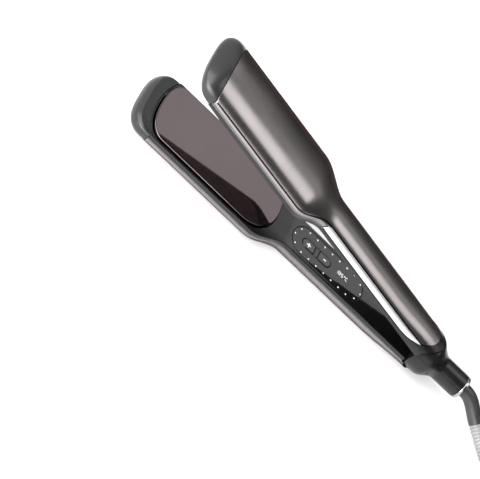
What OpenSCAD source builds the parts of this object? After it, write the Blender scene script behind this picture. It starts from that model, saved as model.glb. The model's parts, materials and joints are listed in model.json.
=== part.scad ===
// Wide-plate hair straightener (flat iron), lying on its lower arm with the arms sprung open.
// +X runs from the tips of the arms to the tail and the cord, Y is the hinge axis, +Z is up.
// The origin is under the middle of the iron, on the surface that it lies on.

/* [Arms] */
// Width across each arm beside its plate
head_w = 48; // [46.5:0.1:49.5]
// Width across the handle
grip_w = 25.4; // [25:0.1:26.2]
// Depth of an arm, from the middle plane of the closed iron to its back
arm_depth = 15.2; // [14.8:0.1:15.8]
// Depth of the upper arm along its handle
upper_grip_depth = 12.2; // [11.8:0.1:13]
// Wall thickness of the metal shells
shell_wall = 1.6; // [1.2:0.1:1.8]
// Angle between the arms when they are released
open_angle = 11.2; // [8:0.1:13]

/* [Plates] */
// Width of each heated plate
plate_w = 44; // [43:0.1:44.6]
// Gap that is left between the two plates when the iron is closed
plate_gap = 0.3; // [0.2:0.05:0.8]

/* [Controls] */
// Width of the glossy control panel
panel_w = 21.2; // [20:0.1:21.4]
// Spacing of the indicator lights along the panel
light_pitch = 5.95; // [5.5:0.05:6.1]
// Diameter of an indicator light
light_d = 0.9; // [0.6:0.1:1]
// Length of a button
button_l = 9.2; // [8.4:0.1:9.6]
// Width of a button
button_w = 6.6; // [6:0.1:7]

/* [Tail and cord] */
// Diameter of the swivel barrel
barrel_d = 15.4; // [15:0.1:16]
// Diameter of the sleeve where the cord leaves the barrel
relief_d = 8.7; // [8:0.1:8.8]
// Diameter of the power cord
cord_d = 6; // [5.6:0.1:6.2]

/* [Hidden] */
$fn = 48;

// Places along an arm, as X from the hinge axis (the tip is at the negative end)
tip_x = -226.5;             // end of the tip caps
cap_seam_x = -210.7;        // where a shell meets its tip cap
frame_nose_x = -216.8;      // rounded nose of the inner frame
plate_tip_x = -215.2;       // tip end of the plates
plate_end_x = -123.2;       // handle end of the plates
neck_x0 = -134;             // where the arms start to narrow
neck_x1 = -108.5;           // where the handle starts
barrel_end_x = 25.5;        // end of the swivel barrel
hinge_x = -(tip_x + barrel_end_x) / 2;
hinge_z = arm_depth - 0.03;      // the shell rests on a narrow flat along its back

// Depths in an arm, measured outwards from the middle plane of the closed iron
face_p = 2;                 // inner face of the frames
side_p = 5.5;               // lower edge of the frames' side walls
lip_p = side_p + 0.15;      // edge of a shell
strip_p = 9.1;              // edge of the upper shell above the side strips
power = 2.2;                // roundness of the shells' section
drum_r = 13.2;              // round end of the tail housing, about the hinge axis
drum_body_r = 12.9;         // the same, about the long axis
seam = 0.3;                 // gap between neighbouring covers

function mix(a, b, t) = a + (b - a) * t;
function ease(t) = t <= 0 ? 0 : t >= 1 ? 1 : (1 - cos(180 * t)) / 2;
function bump(t, n) = pow(max(0, 1 - pow(abs(t), n)), 1 / n);
function unit(v) = v / norm(v);

// How far along the neck, and along the taper into the tail, a place on an arm is
function neck(x) = ease((x - neck_x0) / (neck_x1 - neck_x0));
function tail(x) = ease((x + 45) / 35);
function half_w(x) = mix(head_w, grip_w, neck(x)) / 2;
function wall_p(x) = mix(side_p, 3.5, tail(x));
function back_p(upper, x) =
    mix(upper ? mix(arm_depth, upper_grip_depth, neck(x)) : arm_depth, drum_r - 0.1, tail(x));
function edge_p(upper, x) = upper ? mix(lip_p, strip_p, ease((x + 112.5) / 4)) : lip_p;

// The seam at the tip, which leans towards the tip over an arm's back
function seam_x(p) = cap_seam_x - 0.65 * max(0, p - 8);

// Half width of an arm's outside at a depth, and the point of its section at an angle
function half_at(upper, x, p) =
    half_w(x) * bump(max(0, p - wall_p(x)) / (back_p(upper, x) - wall_p(x)), power);
function section_y(x, a, inset) =
    -sign(cos(a)) * (half_w(x) - inset) * pow(abs(cos(a)), 2 / power);
function section_p(upper, x, a, inset) =
    wall_p(x) + (back_p(upper, x) - wall_p(x) - inset) * pow(sin(a), 2 / power);
function edge_angle(upper, x) =
    asin(pow(max(0, (edge_p(upper, x) - wall_p(x)) / (back_p(upper, x) - wall_p(x))), power / 2));

// Where the covers end at the tail: the lower one on the drum, the upper one in a thumb shape
thumb_x = -21.5;
thumb_r = 11.5;
function drum_edge_x(p) = -sqrt(max(pow(drum_r + seam, 2) - p * p, 4));
function thumb_edge_x(y) = thumb_x + thumb_r * sqrt(max(0, 1 - pow(y / 11.1, 2)));

// A solid through closed rings of equally many points, each ring counter-clockwise about the way along
module skin(rings) {
    n = len(rings[0]);
    last = (len(rings) - 1) * n;
    polyhedron(
        points = [for (ring = rings) each ring],
        faces = concat(
            [for (i = [0:len(rings) - 2], j = [0:n - 1])
                let (k = (j + 1) % n) [i * n + j, (i + 1) * n + j, (i + 1) * n + k]],
            [for (i = [0:len(rings) - 2], j = [0:n - 1])
                let (k = (j + 1) % n) [i * n + j, (i + 1) * n + k, i * n + k]],
            [[for (j = [0:n - 1]) j]],
            [[for (j = [n - 1:-1:0]) last + j]]
        )
    );
}

// The same for C-shaped rings, an outer arc and an inner arc back, whose ends may curve
module wall_skin(rings) {
    n = len(rings[0]);
    m = n / 2 - 1;
    last = (len(rings) - 1) * n;
    polyhedron(
        points = [for (ring = rings) each ring],
        faces = concat(
            [for (i = [0:len(rings) - 2], j = [0:n - 1])
                let (k = (j + 1) % n) [i * n + j, (i + 1) * n + j, (i + 1) * n + k]],
            [for (i = [0:len(rings) - 2], j = [0:n - 1])
                let (k = (j + 1) % n) [i * n + j, (i + 1) * n + k, i * n + k]],
            [for (j = [0:m - 1]) [j, j + 1, n - 2 - j]],
            [for (j = [0:m - 1]) [j, n - 2 - j, n - 1 - j]],
            [for (j = [0:m - 1]) [last + j, last + n - 2 - j, last + j + 1]],
            [for (j = [0:m - 1]) [last + j, last + n - 1 - j, last + n - 2 - j]]
        )
    );
}

// A round tube of changing radius along a path
function along(path, i) =
    unit(path[min(i + 1, len(path) - 1)] - path[max(i - 1, 0)]);
function hoop(at, way, r, sides) =
    let (side = unit(cross([0, 0, 1], way)), up = cross(way, side))
    [for (k = [0:sides - 1]) at + r * (cos(360 * k / sides) * side + sin(360 * k / sides) * up)];
module tube(path, radii, sides) {
    skin([for (i = [0:len(path) - 1]) hoop(path[i], along(path, i), radii[i], sides)]);
}
function spline(a, b, c, d, t) =
    0.5 * (2 * b + (c - a) * t + (2 * a - 5 * b + 4 * c - d) * t * t
        + (3 * b - a - 3 * c + d) * t * t * t);
function smooth(pts, steps) = [
    for (i = [0:len(pts) - 2], k = [0:steps - 1])
        spline(pts[max(i - 1, 0)], pts[i], pts[i + 1], pts[min(i + 2, len(pts) - 1)], k / steps),
    pts[len(pts) - 1]
];

// Frames that the parts are placed in: the lower arm, and the upper arm raised about the hinge
module low() {
    translate([hinge_x, 0, hinge_z]) children();
}
module high() {
    translate([hinge_x, 0, hinge_z])
        rotate([0, open_angle, 0])
            mirror([0, 0, 1]) children();
}
// A flat outline made solid between two depths of an arm
module slab(p0, p1) {
    translate([0, 0, -p1]) linear_extrude(p1 - p0) children();
}
module block(x0, x1, half, p0, p1) {
    translate([x0, -half, -p1]) cube([x1 - x0, 2 * half, p1 - p0]);
}

// ---- Shells, frames and caps, the same modules for both arms ----

head_stations = [for (i = [0:9]) cap_seam_x + seam / 2 + i * (neck_x0 - cap_seam_x) / 10];
neck_stations = [for (i = [0:13]) neck_x0 + i * (neck_x1 - neck_x0 + 1) / 14];
grip_stations = [for (i = [0:5]) neck_x1 + 1 + i * (-35 - neck_x1) / 6];
arc_steps = 19;

function wall_point(upper, x, a, inset, warp) =
    let (
        y = section_y(x, a, inset),
        end_x = upper ? thumb_edge_x(y) : drum_edge_x(section_p(upper, -8, a, inset)),
        at = warp > 0 ? mix(-34, end_x, warp)
            : x > head_stations[0] ? x
            : seam_x(section_p(upper, x, a, inset)) + seam / 2
    )
    [at, y, -max(section_p(upper, at, a, inset), edge_p(upper, at))];
function wall_ring(upper, x, warp) =
    let (
        a0 = edge_angle(upper, x),
        arc = [for (j = [0:arc_steps]) a0 + j * (180 - 2 * a0) / arc_steps]
    )
    concat(
        [for (a = arc) wall_point(upper, x, a, 0, warp)],
        [for (j = [arc_steps:-1:0]) wall_point(upper, x, arc[j], shell_wall, warp)]
    );

module shell(upper) {
    wall_skin(concat(
        [for (x = concat(head_stations, neck_stations, grip_stations)) wall_ring(upper, x, 0)],
        [for (i = [0:6]) wall_ring(upper, mix(-34, -10, i / 6), max(i / 6, 0.001))]
    ));
}

// Outline of an inner frame, drawn inwards by an inset, up to a place near the tail
function frame_side(inset, end_x) = [
    for (x = concat([cap_seam_x], neck_stations, [neck_x1, end_x])) [x, half_w(x) - inset]
];
function nose(inset) =
    let (half = head_w / 2 - inset)
    [for (i = [1:15])
        let (y = mix(half, -half, i / 16))
        [mix(frame_nose_x + inset, cap_seam_x, pow(y / half, 2)), y]];
module frame_outline(inset, end_x) {
    right = frame_side(inset, end_x);
    polygon(concat(
        [for (i = [len(right) - 1:-1:0]) right[i]],
        nose(inset),
        [for (q = right) [q[0], -q[1]]]
    ));
}

// Outline of a plate: a blunt tip end and a rounder handle end
plate_tip_l = 12.2;
plate_round_l = 20;
function plate_outline(inset) =
    let (half = plate_w / 2 - inset)
    concat(
        [for (i = [0:11])
            let (a = 90 - 180 * i / 12)
            [plate_end_x - plate_round_l + (plate_round_l - inset) * pow(cos(a), 0.9),
             -half * sign(a) * pow(abs(sin(a)), 0.9)]],
        [for (i = [0:12])
            let (a = 90 - 180 * i / 12)
            [plate_tip_x + plate_tip_l - (plate_tip_l - inset) * pow(cos(a), 0.8),
             half * sign(a) * pow(abs(sin(a)), 0.8)]]
    );

module frame(end_x) {
    difference() {
        slab(face_p, side_p) frame_outline(0, end_x);
        slab(face_p + 2.4, side_p + 1) frame_outline(1.3, end_x + 1);
        slab(face_p - 1, side_p + 1) polygon(plate_outline(-0.55));
    }
}

// A tip cap: level outlines from its back up to the inner face. Its end stands furthest out at
// one depth, rounds off to the inner face and slopes back to the seam over the arm's back.
cap_out_p = 7.8;
function cap_end(p) =
    tip_x + (p < cap_out_p ? 3.9 * pow((cap_out_p - p) / 5.8, 2.2) : 10 * pow((p - cap_out_p) / 7.4, 1.6));
function cap_ring(p, inset) =
    let (
        q = max(0, p - side_p) / (arm_depth - side_p - inset),
        half = (head_w / 2 - inset) * bump(q, power) - 1.4 * pow(max(0, 3.6 - p) / 1.6, 2.2),
        start = seam_x(p) - seam / 2,
        reach = start - cap_end(p) - inset
    )
    [for (i = [0:24])
        let (a = -90 + 180 * i / 24)
        [start - reach * pow(cos(a), 0.66), -half * sign(a) * pow(abs(sin(a)), 0.66), -p]];
module tip_cap() {
    difference() {
        skin(concat(
            [for (s = [0.985, 0.95, 0.88, 0.78, 0.64, 0.46, 0.25, 0.08])
                cap_ring(mix(side_p, arm_depth, s), 0)],
            [for (p = [4.6, 3.6, 2.9, 2.4, face_p]) cap_ring(p, 0)]
        ));
        skin([for (p = [12, 10.8, 9, 7, side_p + 0.8]) cap_ring(p, 2)]);
        slab(face_p - 1, side_p + 0.15)
            polygon(concat([[cap_seam_x + 1, head_w]], nose(-seam), [[cap_seam_x + 1, -head_w]]));
    }
}

// ---- Heated plates and what carries them ----

module plate() {
    lift = plate_gap / 2;
    skin([for (ring = [[3.2, 0], [lift + 0.8, 0], [lift + 0.3, 0.25], [lift, 0.8]])
        [for (q = plate_outline(ring[1])) [q[0], q[1], -ring[0]]]]);
}
module heater() {
    block(-204, -136, 8, 3.25, 4.8);
}
module plate_carrier() {
    difference() {
        block(-206, -134, 17.5, 3.25, 6.8);
        block(-204.6, -135.4, 16, 3, 5.2);
    }
}
module thermal_fuse() {
    translate([-176, 12, -4.2]) rotate([0, 90, 0]) cylinder(r = 0.9, h = 14);
}
module float_cushions() {
    for (x = [-198, -148], y = [-9.5, 9.5])
        translate([x, y, -11.2]) cylinder(r = 3, h = 4.35);
}
module float_seat() {
    block(-204, -142, 13, 11.25, 12.15);
}
module leads() {
    for (y = [-2, 2])
        translate([-132, y, -8.6 + 0.6]) rotate([0, 90, 0]) cylinder(r = 0.9, h = 90);
}

// ---- Controls in the lower handle ----

panel_r = panel_w / 2;
panel_x0 = -110.3 + panel_r;       // centres of the panel's round ends
panel_x1 = -55.2 - panel_r;
lights_r = 8.25;                   // how far the lights stand from the panel's middle line
lights_x0 = -100.4;
panel_p = 2.08;                    // face of the panel
lights = concat(
    [for (i = [0:6], y = [-lights_r, lights_r]) [lights_x0 + i * light_pitch, y]],
    [for (a = [-45, 0, 45]) [lights_x0 - lights_r * cos(a), lights_r * sin(a)]],
    [for (a = [-45, 0, 45]) [lights_x0 + 6 * light_pitch + lights_r * cos(a), lights_r * sin(a)]]
);
plus_x = -98;                      // middles of the buttons
minus_x = -85.4;

module pill(x0, x1, r) {
    translate([x0, 0]) circle(r = r);
    translate([x1, 0]) circle(r = r);
    translate([x0, -r]) square([x1 - x0, 2 * r]);
}
// A button's outline, round at the end that points away from the other button
module button_outline(x, way, grow) {
    r = button_w / 2 + grow;
    half = button_l / 2 + grow;
    translate([x, 0]) {
        translate([way * (half - r), 0]) circle(r = r);
        translate([way > 0 ? -half + 0.8 : r - half, -r]) square([2 * half - r - 0.8, 2 * r]);
        translate([way > 0 ? -half : half - 0.9, -r + 0.8]) square([0.9, 2 * r - 1.6]);
        for (y = [-1, 1]) translate([-way * (half - 0.8), y * (r - 0.8)]) circle(r = 0.8);
    }
}
module control_panel() {
    color("#3c3a3b") low() difference() {
        slab(panel_p, 3.45) pill(panel_x0, panel_x1, panel_r - 0.35);
        for (q = lights)
            translate([q[0], q[1], -5]) cylinder(d = light_d + 0.1, h = 5);
        slab(1, 5) button_outline(plus_x, -1, 0.3);
        slab(1, 5) button_outline(minus_x, 1, 0.3);
    }
}
module light_ring() {
    color("white") low()
        for (q = lights)
            translate([q[0], q[1], -3.4]) cylinder(d = light_d, h = 3.4 - panel_p + 0.03);
}

// Seven-segment figures: bars 0, 3 and 6 lie level from top to bottom, 1, 2, 4 and 5 stand between them
figure_l = 2.3;
figure_w = 1.3;
figure_pitch = 2.05;
bar_w = 0.3;
uprights = [[], [0, 0.5], [1, 0.5], [], [0, 0], [1, 0]];
lit = [[2, 5], [0, 1, 2, 3, 4, 5, 6], [0, 1, 3, 5, 6], [], [0, 1, 4, 6]];
module figure(bars) {
    for (b = bars) {
        level = b % 3 == 0;
        if (level)
            translate([0.2, (1 - b / 6) * figure_l - bar_w / 2]) square([figure_w - 0.4, bar_w]);
        else
            translate([uprights[b][0] * figure_w - bar_w / 2, uprights[b][1] * figure_l + 0.16])
                square([bar_w, figure_l / 2 - 0.32]);
    }
}
module display_digits() {
    color("white") low() translate([-76.2, -0.2, 0]) slab(panel_p - 0.07, panel_p) {
        for (i = [0:len(lit) - 1]) translate([(i < 4 ? i : i - 0.35) * figure_pitch, 0]) figure(lit[i]);
        translate([3.05 * figure_pitch + 0.2, figure_l - 0.4]) difference() {
            circle(r = 0.45, $fn = 24);
            circle(r = 0.2, $fn = 24);
        }
    }
}
module display_module() {
    color("#20242a") low() block(-77.5, -65, 4, 4.6, 7.9);
}
module button(x, way) {
    slab(1.85, 2.95) button_outline(x, way, 0);
    translate([x, 0, -4.7]) cylinder(r = 1.5, h = 2);
}
module plus_button() {
    color("#2b2a2b") low() button(plus_x, -1);
}
module minus_button() {
    color("#2b2a2b") low() button(minus_x, 1);
}
module plus_mark() {
    color("white") low() slab(1.78, 1.85) {
        translate([plus_x, 0]) square([3, 0.55], center = true);
        translate([plus_x, 0]) square([0.55, 3], center = true);
    }
}
module minus_mark() {
    color("white") low() slab(1.78, 1.85) translate([minus_x, 0]) square([1.7, 0.55], center = true);
}
module button_switches() {
    color("silver") low()
        for (x = [plus_x, minus_x]) {
            block(x - 3, x + 3, 3, 5.9, 7.95);
            translate([x, 0, -5.95]) cylinder(r = 1.2, h = 0.65);
        }
}
board_screw_x = [-105, -53];
board_screw_y = 6.6;
module control_board() {
    color("darkgreen") low() difference() {
        block(-108, -50, 9, 8, 9.4);
        for (x = board_screw_x, y = [-board_screw_y, board_screw_y])
            translate([x, y, -11]) cylinder(r = 0.95, h = 5);
    }
}

// ---- Lower arm ----

module lower_shell() {
    color("#6a6264") low() shell(false);
}
module lower_frame() {
    color("#37383a") low() difference() {
        union() {
            frame(-14);
            for (x = board_screw_x, y = [-board_screw_y, board_screw_y])
                translate([x, y, -7.95]) cylinder(r = 2, h = 4);
            for (x = [-29, -21]) translate([x, 0, -5.95]) cylinder(r = 2.6, h = 2);
        }
        for (x = board_screw_x, y = [-board_screw_y, board_screw_y])
            translate([x, y, -9]) cylinder(r = 0.95, h = 5.5);
        for (x = [-29, -21]) translate([x, 0, -7]) cylinder(r = 1.25, h = 4);
        slab(1, 3.5) pill(panel_x0, panel_x1, panel_r);
        block(-77.8, -64.7, 4.3, 3, 6);
        for (x = [plus_x, minus_x])
            translate([x, 0, -6]) cylinder(r = 1.75, h = 4);
    }
}
module lower_tip_cap() {
    color("#3f4042") low() tip_cap();
}
module lower_plate() {
    color("#5b5052") low() plate();
}
module lower_heater() {
    color("ivory") low() heater();
}
module lower_plate_carrier() {
    color("#222222") low() plate_carrier();
}
module lower_thermal_fuse() {
    color("silver") low() thermal_fuse();
}
module lower_float_cushions() {
    color("#9a4b3a") low() float_cushions();
}
module lower_float_seat() {
    color("#8d8f92") low() float_seat();
}
module board_screws() {
    color("silver") low()
        for (x = board_screw_x, y = [-board_screw_y, board_screw_y]) {
            translate([x, y, -9.4]) cylinder(r = 0.9, h = 5.2);
            translate([x, y, -10.4]) cylinder(r = 1.7, h = 1);
        }
}
module lower_leads() {
    color("whitesmoke") low() translate([0, 0, -2.6]) leads();
}

// ---- Hinge and tail ----

pin_r = 2;
hollow_r = 7.2;                    // room for the hinge inside the tail housing
hollow_half = 8;
eye_half = 3.8;                    // half width of the bracket on the pin
barrel_r = barrel_d / 2;
sleeve_r = 5.6;                    // outside of the swivel sleeve
barrel_face_x = 23.1;

// Radius of the tail housing about the long axis, from the drum to the barrel
function housing_r(x) = mix(drum_body_r, barrel_r, ease((x + 3.2) / 11.2));
module lug() {
    block(-33, -7, 6, 6, 10);
}
module tail_housing() {
    color("#2c2d2f") low() difference() {
        union() {
            intersection() {
                rotate([0, 90, 0]) rotate_extrude() polygon(concat(
                    [[0, -drum_r], [drum_body_r, -drum_r]],
                    [for (i = [0:14]) let (x = -3.2 + 0.8 * i) [housing_r(x), x]],
                    [[barrel_r, barrel_face_x], [0, barrel_face_x]]
                ));
                union() {
                    rotate([90, 0, 0]) cylinder(r = drum_r, h = 40, center = true, $fn = 96);
                    translate([0, -20, -20]) cube([40, 40, 40]);
                }
            }
            lug();
        }
        intersection() {
            rotate([90, 0, 0]) cylinder(r = hollow_r, h = 2 * hollow_half, center = true);
            rotate([0, 90, 0]) rotate_extrude() polygon(concat(
                [[0, -8], [drum_body_r - 1.5, -8]],
                [for (i = [0:14]) let (x = -3.2 + 0.8 * i) [housing_r(x) - 1.5, x]],
                [[0, 8]]
            ));
        }
        rotate([90, 0, 0]) cylinder(r = pin_r + 0.03, h = 22.6, center = true);
        // way in for the upper arm's bracket, kept clear through its whole swing
        translate([-16, -eye_half - 0.4, 4.5]) cube([13.5, 2 * eye_half + 0.8, 6.5]);
        rotate([0, 90, 0]) cylinder(r = 3.2, h = 10);
        translate([8.4, 0, 0]) rotate([0, 90, 0]) cylinder(r = 6.5, h = 2.6);
        translate([10, 0, 0]) rotate([0, 90, 0]) cylinder(r = sleeve_r + 0.06, h = 20);
        for (x = [-29, -21]) translate([x, 0, -12]) cylinder(r = 1.26, h = 10);
    }
}
module tail_screws() {
    color("silver") low()
        for (x = [-29, -21]) {
            translate([x, 0, -10]) cylinder(r = 1.2, h = 6.6);
            translate([x, 0, -11.1]) cylinder(r = 2.2, h = 1.1);
        }
}
module hinge_pin() {
    color("silver") low() rotate([90, 0, 0]) cylinder(r = pin_r, h = 22.4, center = true);
}
module hinge_washers() {
    color("#d8d4c8") low()
        for (y = [-eye_half - 0.55, eye_half + 0.05])
            translate([0, y, 0]) rotate([-90, 0, 0]) difference() {
                cylinder(r = 3.6, h = 0.5);
                translate([0, 0, -1]) cylinder(r = pin_r + 0.05, h = 3);
            }
}
// Torsion spring about the pin, its two legs towards the arms
spring_r = 3.1;
spring_wire_r = 0.45;
module hinge_spring() {
    turns = 2;
    coil = concat(
        [[3.4, 5, spring_r], [1.5, 5, spring_r]],
        [for (i = [0:16 * turns])
            let (a = 22.5 * i)
            [-spring_r * sin(a), 5 + i / 16, spring_r * cos(a)]],
        [[-1.5, 5 + turns, spring_r], [-4.2, 5 + turns, spring_r]]
    );
    color("silver") low() skin([
        for (i = [0:len(coil) - 1])
            let (way = along(coil, i), out = unit([coil[i][0], 0, coil[i][2]]), side = cross(way, out))
            [for (k = [0:7]) coil[i] + spring_wire_r * (cos(45 * k) * out + sin(45 * k) * side)]
    ]);
}
module swivel_sleeve() {
    color("#1d1d1e") low() rotate([0, 90, 0]) rotate_extrude() polygon([
        [2.6, 8.6], [6.3, 8.6], [6.3, 10.6], [sleeve_r, 10.8], [sleeve_r, 23.6],
        [relief_d / 2 + 0.05, 23.6], [relief_d / 2 + 0.05, 17], [2.6, 17]
    ]);
}
module swivel_collar() {
    color("gainsboro") low() rotate([0, 90, 0]) rotate_extrude() polygon([
        [sleeve_r + 0.03, barrel_face_x + 0.25], [barrel_r - 0.2, barrel_face_x + 0.25],
        [barrel_r, barrel_face_x + 0.5], [barrel_r, barrel_end_x - 0.7], [barrel_r - 0.6, barrel_end_x],
        [sleeve_r + 0.75, barrel_end_x], [sleeve_r + 0.03, barrel_end_x - 0.9]
    ]);
}

// ---- Upper arm ----

module upper_shell() {
    color("#7d7375") high() shell(true);
}
module upper_frame() {
    color("#37383a") high() frame(end_cap_x - seam);
}
module upper_tip_cap() {
    color("#3f4042") high() tip_cap();
}
// Lower edge of the side strips, which climbs to a point near the tail
strip_x0 = -111;
strip_x1 = -18;
function strip_low(x) = mix(side_p + 0.15, strip_p - 0.25, pow(max(0, (x + 34) / (strip_x1 + 34)), 1.9));
function strip_open(x) = sqrt(min(1, (x - strip_x0) / 2.4));
module side_strip() {
    stations = concat(
        [for (i = [0:6]) strip_x0 + 0.05 + i * 0.4],
        [for (i = [1:24]) mix(-108, strip_x1, i / 24)]
    );
    skin([
        for (x = stations)
            let (
                top = edge_p(true, x) - 0.25,
                mid = (top + strip_low(x)) / 2,
                half = max(0.04, (top - strip_low(x)) / 2 * strip_open(x))
            )
            concat(
                [for (k = [-1, -0.5, 0, 0.5, 1]) let (p = mid + k * half) [x, -half_at(true, x, p), -p]],
                [for (k = [1, -1]) let (p = mid + k * half) [x, 1.2 - half_at(true, x, p), -p]]
            )
    ]);
}
module upper_side_strips() {
    color("gainsboro") high() {
        side_strip();
        mirror([0, 1, 0]) side_strip();
    }
}
// Dark end of the upper arm, between the shell's thumb-shaped end and the drum
end_cap_x = -42;
module end_cap_body() {
    skin([
        for (i = [0:8])
            let (x = mix(end_cap_x, -3, i / 8))
            concat(
                [for (j = [0:arc_steps])
                    let (a = j * 180 / arc_steps)
                    [x, section_y(x, a, 0), -section_p(true, x, a, 0)]],
                [for (y = [half_w(x), -half_w(x)]) [x, y, -face_p]]
            )
    ]);
}
module upper_end_cap() {
    color("#303133") high() difference() {
        end_cap_body();
        rotate([90, 0, 0]) cylinder(r = drum_r + seam, h = 40, center = true, $fn = 96);
        // room for the side strips and the shell
        translate([0, 20, 0]) rotate([90, 0, 0]) linear_extrude(40) polygon(concat(
            [for (i = [0:10]) let (x = mix(end_cap_x - 1, strip_x1 + 0.3, i / 10)) [x, 0.2 - strip_low(x)]],
            [[strip_x1 + 0.3, -30], [end_cap_x - 1, -30]]
        ));
        slab(strip_p - 0.4, 30) polygon(concat(
            [[-30, -11.3]],
            [for (i = [0:20]) let (y = mix(-11.3, 11.3, i / 20)) [thumb_edge_x(y) + 0.25, y]],
            [[-30, 11.3]]
        ));
        block(-35.3, 0, eye_half + 0.3, 4.7, 7.3);
        block(-35.3, -18, eye_half + 0.3, 4.7, 12);
        for (x = [-31, -24]) translate([x, 0, -6]) cylinder(r = 1.1, h = 3);
    }
}
module upper_hinge_bracket() {
    color("silver") high() difference() {
        rotate([90, 0, 0]) linear_extrude(2 * eye_half, center = true) {
            circle(r = 5);
            polygon([[-35, -4.8], [-35, -7], [-9, -7], [-3.5, -5.8], [0, -4], [-4, 0], [-5.2, -4.8]]);
        }
        rotate([90, 0, 0]) cylinder(r = pin_r + 0.05, h = 20, center = true);
        for (x = [-31, -24]) translate([x, 0, -9]) cylinder(r = 1.25, h = 6);
    }
}
module upper_bracket_screws() {
    color("silver") high()
        for (x = [-31, -24]) {
            translate([x, 0, -7]) cylinder(r = 1.05, h = 3.6);
            translate([x, 0, -8.1]) cylinder(r = 2.2, h = 1.1);
        }
}
module upper_plate() {
    color("#5b5052") high() plate();
}
module upper_heater() {
    color("ivory") high() heater();
}
module upper_plate_carrier() {
    color("#222222") high() plate_carrier();
}
module upper_thermal_fuse() {
    color("silver") high() thermal_fuse();
}
module upper_float_cushions() {
    color("#9a4b3a") high() float_cushions();
}
module upper_float_seat() {
    color("#8d8f92") high() float_seat();
}
module upper_leads() {
    color("whitesmoke") high() leads();
}

// ---- Cord: strain relief, free lead, tied hank and plug ----

// Points that the relief and the lead run through, in the iron's own frame
relief_route = [
    [118, 0, 15.2], [126, 0, 15.2], [131, 0, 14.9], [135, -0.6, 13.8], [139, -2, 12],
    [143, -3.8, 10], [147.2, -5.8, 8.2]
];
rib_route = [[147.2, -5.8, 8.2], [153, -9.2, 6.2], [158.5, -13.2, 4.9], [164, -18, 4.1]];
lead_route = [[164, -18, 4.1], [167.5, -21.5, 3.7], [171, -25, 3.9], [174, -28, 4.2]];
relief_r = relief_d / 2;
cord_r = cord_d / 2;
rib_count = 10;

// The hank: oval turns, two beside each other and five high
hank_at = [222.5, -17.4];
hank_run = 50;                     // straight part of a turn
hank_r = 27;                       // outside radius of its round ends
hank_z0 = 1.5;
hank_z1 = 31.5;
plug_x0 = 169;                     // pin face of the plug
plug_l = 36;
plug_w = 35;
plug_t = 13.8;
plug_z = hank_z1 + 1.5 + plug_t / 2;
plug_y = -8;
tail_route = [
    for (i = [0:9]) let (t = i / 9)
        [250 - 45 * t, mix(0.6, plug_y, ease(t)), mix(28.5, plug_z, ease(t))]
];

module relief_sleeve() {
    path = smooth(relief_route, 3);
    color("#6a6b6d") tube(path, [for (q = path) relief_r], 24);
}
// Ribs: each ring of the path twice, once wide and once narrow
module relief_ribs() {
    path = smooth(rib_route, 8);
    color("#808183") tube(path, [
        for (i = [0:len(path) - 1])
            mix(relief_r, cord_r + 0.5, i / (len(path) - 1)) - (i % 2 == 0 ? 0 : 0.5)
    ], 16);
}
module cord_lead() {
    color("#1a1a1a") tube(lead_route, [for (q = lead_route) cord_r], 12);
}
module cord_hank() {
    color("#1a1a1a") translate([hank_at[0], hank_at[1], hank_z0]) linear_extrude(hank_z1 - hank_z0)
        pill(-hank_run / 2, hank_run / 2, hank_r);
}
module cord_tie() {
    color("black") translate([186, hank_at[1], 0]) difference() {
        translate([0, -hank_r - 1.5, 0]) cube([14, 2 * hank_r + 3, hank_z1 + 1.5]);
        translate([-1, -hank_r, hank_z0]) cube([16, 2 * hank_r, hank_z1 - hank_z0]);
    }
}
module cord_tail() {
    color("#1a1a1a") tube(tail_route, [for (q = tail_route) cord_r], 12);
}
module plug_body() {
    color("#1a1a1a") translate([plug_x0, plug_y, plug_z - plug_t / 2]) linear_extrude(plug_t)
        polygon([
            [0, -plug_w / 2 + 3], [2, -plug_w / 2], [10, -plug_w / 2], [plug_l, -6],
            [plug_l, 6], [10, plug_w / 2], [2, plug_w / 2], [0, plug_w / 2 - 3]
        ]);
}
module plug_pins() {
    color("silver")
        for (y = [-9.3, 9.3])
            translate([plug_x0 - 19, plug_y + y, plug_z]) rotate([0, 90, 0]) cylinder(d = 4, h = 19);
}

lower_shell();
lower_frame();
lower_tip_cap();
lower_plate();
lower_heater();
lower_plate_carrier();
lower_thermal_fuse();
lower_float_cushions();
lower_float_seat();
lower_leads();
control_panel();
light_ring();
display_digits();
display_module();
plus_button();
plus_mark();
minus_button();
minus_mark();
button_switches();
control_board();
board_screws();
tail_housing();
tail_screws();
hinge_pin();
hinge_spring();
hinge_washers();
swivel_sleeve();
swivel_collar();
upper_shell();
upper_frame();
upper_tip_cap();
upper_end_cap();
upper_side_strips();
upper_plate();
upper_heater();
upper_plate_carrier();
upper_thermal_fuse();
upper_float_cushions();
upper_float_seat();
upper_leads();
upper_hinge_bracket();
upper_bracket_screws();
relief_sleeve();
relief_ribs();
cord_lead();
cord_hank();
cord_tie();
cord_tail();
plug_body();
plug_pins();
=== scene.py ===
"""Looks of the wide-plate hair straightener.

Lengths in the shape functions are millimetres from the hinge: x along an arm (the tip is negative), y across
it, and p the depth outwards from the plane where the arms meet. place() takes them to the frame in metres.
"""

import json
import math

import bmesh
import bpy
import numpy as np
from mathutils import Matrix, Vector


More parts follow.
